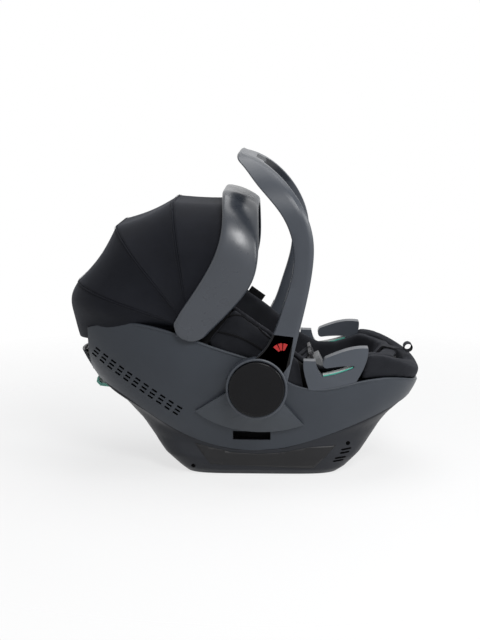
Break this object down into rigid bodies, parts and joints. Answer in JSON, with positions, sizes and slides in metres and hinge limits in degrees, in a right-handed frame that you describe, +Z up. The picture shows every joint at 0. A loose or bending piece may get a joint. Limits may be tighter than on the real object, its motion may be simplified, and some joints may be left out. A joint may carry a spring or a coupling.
{
  "type": "infant car seat",
  "caption": "Rear-facing infant car seat: padded bucket shell on a rocker base, U-shaped carry handle with hub release buttons, folding canopy, harness and belt guides.",
  "frame": {"origin": "middle of the foot of the base, on the floor, under the line of the handle hubs", "axes": "+X from head end to foot end, +Y to the occupant's left, +Z up"},
  "size_m": [0.6676, 0.436, 0.607],
  "materials": {
    "shell_plastic": "satin slate grey moulding",
    "handle_plastic": "satin grey moulding",
    "base_plastic": "fine-grained charcoal moulding",
    "hidden_plastic": "matt moulding",
    "button_plastic": "glossy black",
    "trim_plastic": "black printed trim, left bare",
    "red_plastic": "glossy red",
    "mint_plastic": "satin mint",
    "inlay": "pale inlay",
    "grip_rubber": "soft moulded grip",
    "steel": "plated steel",
    "canopy_cloth": "woven near-black cloth",
    "cover_cloth": "padded near-black cloth",
    "foam": "expanded foam",
    "webbing": "woven webbing",
    "label": "bare label plate"
  },
  "bodies": {
    "seat": {"seat_shell": "shell_plastic", "hub_fairings": "shell_plastic", "seat_pan": "hidden_plastic", "foam_liner": "foam", "foam_floor": "foam", "cover_lining": "cover_cloth", "seat_cushion": "cover_cloth", "cover_edge": "cover_cloth", "side_bolster_left": "cover_cloth", "side_bolster_right": "cover_cloth", "foot_apron": "cover_cloth", "belt_guide_left": "shell_plastic", "belt_guide_right": "shell_plastic", "guide_inlays": "inlay", "cover_tab": "cover_cloth", "base_tub": "base_plastic", "base_plate": "base_plastic", "base_screws": "steel", "dock_bars": "steel", "base_label": "label", "shoulder_belt_hook": "mint_plastic", "hub_plates": "hidden_plastic", "pivot_bolts": "steel", "canopy_rib_rear": "steel", "canopy_panel_rear": "canopy_cloth", "canopy_mounts": "hidden_plastic", "seat_pad": "cover_cloth", "buckle_body": "hidden_plastic", "buckle_tongues": "steel", "shoulder_straps": "webbing", "harness_pads": "cover_cloth", "crotch_strap": "webbing", "crotch_pad": "cover_cloth", "adjuster_housing": "hidden_plastic", "adjuster_strap": "webbing", "harness_yoke": "steel"},
    "handle": {"handle_frame": "handle_plastic", "handle_inner_covers": "handle_plastic", "handle_grip": "grip_rubber", "position_plates": "trim_plastic", "button_spring_left": "steel", "button_spring_right": "steel"},
    "button_right": {"handle_button_right": "button_plastic", "lock_dog_right": "steel"},
    "button_left": {"handle_button_left": "button_plastic", "lock_dog_left": "steel"},
    "canopy_mid": {"canopy_rib_mid": "steel", "canopy_panel_back": "canopy_cloth"},
    "canopy_front": {"canopy_rib_front": "steel", "canopy_panel_mid": "canopy_cloth"},
    "canopy_bow": {"canopy_bow": "handle_plastic", "bow_lining": "canopy_cloth", "canopy_panel_front": "canopy_cloth"},
    "headrest": {"headrest_core": "hidden_plastic", "headrest_pad": "cover_cloth"},
    "buckle_button": {"buckle_button": "red_plastic"},
    "adjuster_button": {"adjuster_button": "mint_plastic"},
    "release_lever": {"release_lever": "shell_plastic"},
    "adapter_latches": {"adapter_latches": "hidden_plastic"}
  },
  "joints": [
    {"name": "handle_swing", "type": "hinge", "parent": "seat", "child": "handle", "pos_m": [0, 0, 0.1855], "axis": [0, 1, 0], "range_deg": [-118, 0]},
    {"name": "button_right_press", "type": "slide", "parent": "handle", "child": "button_right", "axis": [0, 1, 0], "range_m": [0, 0.004], "stiffness_N_per_m": 2500, "springref_m": -0.001, "deforming": ["button_spring_right"]},
    {"name": "button_left_press", "type": "slide", "parent": "handle", "child": "button_left", "axis": [0, -1, 0], "range_m": [0, 0.004], "stiffness_N_per_m": 2500, "springref_m": -0.001, "deforming": ["button_spring_left"]},
    {"name": "canopy_fold", "type": "hinge", "parent": "seat", "child": "canopy_mid", "pos_m": [-0.124, 0, 0.29], "axis": [0, 1, 0], "range_deg": [-20, 0], "deforming": ["canopy_panel_back"]},
    {"name": "canopy_front_fold", "type": "hinge", "parent": "canopy_mid", "child": "canopy_front", "pos_m": [-0.124, 0, 0.29], "axis": [0, 1, 0], "range_deg": [-20, 0], "deforming": ["canopy_panel_mid"]},
    {"name": "canopy_bow_fold", "type": "hinge", "parent": "canopy_front", "child": "canopy_bow", "pos_m": [-0.124, 0, 0.29], "axis": [0, 1, 0], "range_deg": [-28, 0], "deforming": ["canopy_panel_front"]},
    {"name": "headrest_slide", "type": "slide", "parent": "seat", "child": "headrest", "axis": [-0.7071, 0, 0.7071], "range_m": [0, 0.05]},
    {"name": "buckle_press", "type": "slide", "parent": "seat", "child": "buckle_button", "axis": [-0.891, 0, -0.454], "range_m": [0, 0.004], "stiffness_N_per_m": 4000, "springref_m": -0.001},
    {"name": "adjuster_press", "type": "slide", "parent": "seat", "child": "adjuster_button", "axis": [0.6293, 0, -0.7771], "range_m": [0, 0.003], "stiffness_N_per_m": 3000, "springref_m": -0.001},
    {"name": "lever_pull", "type": "hinge", "parent": "seat", "child": "release_lever", "pos_m": [-0.3345, 0, 0.219], "axis": [0, 1, 0], "range_deg": [0, 25], "stiffness_Nm_per_rad": 1.2, "springref_deg": -5.73},
    {"name": "latch_lift", "type": "slide", "parent": "seat", "child": "adapter_latches", "axis": [0, 0, 1], "range_m": [0, 0.006]}
  ],
  "couplings": [
    {"joint": "canopy_front_fold", "follows": "canopy_fold", "ratio": 1},
    {"joint": "canopy_bow_fold", "follows": "canopy_fold", "ratio": 1.4},
    {"joint": "latch_lift", "follows": "lever_pull", "m_per_rad": 0.01352}
  ]
}
